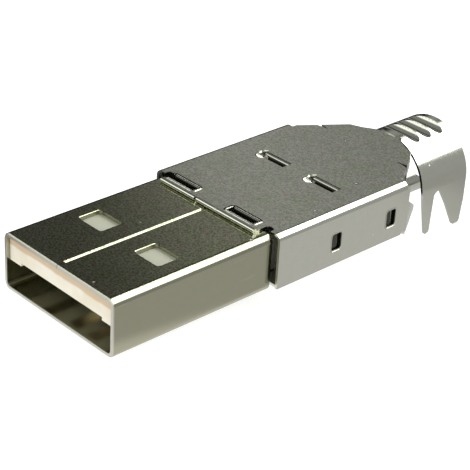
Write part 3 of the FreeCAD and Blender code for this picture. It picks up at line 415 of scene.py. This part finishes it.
def pale_floor():
    """A large plane through the two lines that the plug rests on. The camera sees it white.
    The metal sees it brightest under the plug and in front of it, dimmer behind the tines,
    and almost dark to the left."""
    front = np.array([0.0, shell_low[1], shell_low[2]])
    rear = np.array([0.0, cover_high[1] - FRONT_TIP_INSET, cover_low[2]])
    along = (rear - front) / np.linalg.norm(rear - front)
    across = np.array([1.0, 0.0, 0.0])
    centre = front - np.array([0.0, 0.0, FLOOR_PLAY])
    corners = [centre + u * FLOOR_REACH * across + v * FLOOR_REACH * along
               for u, v in ((-1, -1), (1, -1), (1, 1), (-1, 1))]
    mesh = bpy.data.meshes.new("floor")
    mesh.from_pydata([tuple(c) for c in corners], [], [(0, 1, 2, 3)])
    floor = bpy.data.objects.new("floor", mesh)
    bpy.context.scene.collection.objects.link(floor)
    material = bpy.data.materials.new("pale floor")
    sheet = Sheet(material)
    paper = sheet.node("ShaderNodeBsdfPrincipled",
                       values={"Base Color": (0.5, 0.5, 0.5, 1.0), "Roughness": 1.0,
                               "Specular IOR Level": 0.0, "Emission Color": (1.0, 1.0, 1.0, 1.0),
                               "Emission Strength": 0.78})
    x, y = sheet.axis("X"), sheet.axis("Y")
    close = (1.0 - x.ramp(7.0, 8.4)) * (1.0 - y.ramp(27.0, 32.0))
    rear_fall = 1.0 - y.ramp(36.0, 41.0) * 0.12 - y.ramp(41.0, 47.0) * 0.2
    light = close * UNDER_GLOW + rear_fall * FLOOR_GLOW
    light = light * x.ramp(-11.0, -7.5).between(FAR_PART, 1.0)
    tone = sheet.mixed(light, (0.0, 0.0, 0.0, 1.0), (1.02, 1.0, 0.99, 1.0))
    glow = sheet.node("ShaderNodeBsdfPrincipled",
                      values={"Base Color": (0.0, 0.0, 0.0, 1.0), "Roughness": 1.0,
                              "Specular IOR Level": 0.0, "Emission Color": tone,
                              "Emission Strength": 1.0})
    seen = sheet.node("ShaderNodeLightPath", output="Is Camera Ray")
    mixed = sheet.node("ShaderNodeMixShader", values={0: seen, 1: glow, 2: paper})
    sheet.node("ShaderNodeOutputMaterial", values={"Surface": mixed})
    mesh.materials.append(material)


pale_floor()

# The camera stands where the photo was taken from, in the plug's own frame
CAMERA_PLACE = Vector((72.80, -55.28, 55.45)) * MM
CAMERA_AZIMUTH = math.radians(45.44)
CAMERA_ELEVATION = math.radians(28.94)
CAMERA_ROLL = math.radians(3.39)
SENSOR_WIDTH = 36.0
FOCAL_PIXELS = 1582.9
IMAGE_WIDTH = 470


def photo_camera():
    """A camera that looks down on the plug from its front right."""
    data = bpy.data.cameras.new("camera")
    data.sensor_width = SENSOR_WIDTH
    data.lens = FOCAL_PIXELS / IMAGE_WIDTH * SENSOR_WIDTH
    data.clip_start = 0.005
    data.clip_end = 20.0
    camera = bpy.data.objects.new("camera", data)
    bpy.context.scene.collection.objects.link(camera)
    flat = math.cos(CAMERA_ELEVATION)
    back = Vector((math.sin(CAMERA_AZIMUTH) * flat, -math.cos(CAMERA_AZIMUTH) * flat,
                   math.sin(CAMERA_ELEVATION)))
    level = Vector((math.cos(CAMERA_AZIMUTH), math.sin(CAMERA_AZIMUTH), 0.0))
    upright = back.cross(level)
    right = level * math.cos(CAMERA_ROLL) + upright * math.sin(CAMERA_ROLL)
    up = upright * math.cos(CAMERA_ROLL) - level * math.sin(CAMERA_ROLL)
    turn = Matrix((right, up, back)).transposed().to_4x4()
    camera.matrix_world = Matrix.Translation(CAMERA_PLACE) @ turn
    bpy.context.scene.camera = camera


photo_camera()

# The light tent, as seen from the plug: a bright ceiling, a long bright strip high up
# at the back, a pale front, even walls, and a left wall that glows at half height only
CEILING_GLOW = 1.5
STRIP_GLOW = 4.2
FRONT_GLOW = 1.6
WALL_GLOW = 0.43
LOW_GLOW = 0.03
SEEN_GLOW = 0.95


def studio():
    """The glow of the tent by the direction (x, y, z) in which it is seen."""
    world = bpy.data.worlds.new("studio")
    bpy.context.scene.world = world
    sheet = Sheet(world)
    direction = sheet.node("ShaderNodeTexCoord", output="Generated")
    x, y, z = (sheet.node("ShaderNodeSeparateXYZ", values={0: direction}, output=name)
               for name in "XYZ")
    ceiling = z.ramp(0.72, 0.77)
    # The ceiling glows fully above the back and is dim above the front
    ceiling_part = y.ramp(0.34, 0.50).between(0.18, 1.0)
    # The strip's lower edge falls towards the back
    above = (z + y * 0.35).ramp(0.665, 0.69)
    strip = y.ramp(0.38, 0.46) * (1.0 - y.ramp(0.84, 0.92)) * above * x.ramp(-0.36, -0.24)
    front = (1.0 - y.ramp(-0.45, 0.0)) * z.ramp(0.15, 0.45) * (1.0 - ceiling)
    # The left wall is brightest where the middle of the plug's top mirrors it
    left = 1.0 - x.ramp(-0.35, 0.0)
    grade = (y.ramp(0.545, 0.615) * 0.8 + 0.2) * (1.0 - y.ramp(0.63, 0.70) * 0.25)
    rise = z.ramp(0.12, 0.40) * (1.0 - z.ramp(0.54, 0.60)) * grade
    wall = left * (rise * (WALL_GLOW - LOW_GLOW) + LOW_GLOW) + (1.0 - left) * WALL_GLOW
    inside = (wall * (1.0 - ceiling) + ceiling * CEILING_GLOW * ceiling_part
              + strip * STRIP_GLOW + front * FRONT_GLOW)
    seen = sheet.node("ShaderNodeLightPath", output="Is Camera Ray")
    glow = inside * (1.0 - seen) + seen * SEEN_GLOW
    ground = sheet.node("ShaderNodeBackground",
                        values={"Color": (1.0, 1.0, 0.985, 1.0), "Strength": glow})
    sheet.node("ShaderNodeOutputWorld", values={"Surface": ground})


studio()
bpy.context.scene.view_settings.view_transform = "Standard"
bpy.context.scene.view_settings.look = "None"
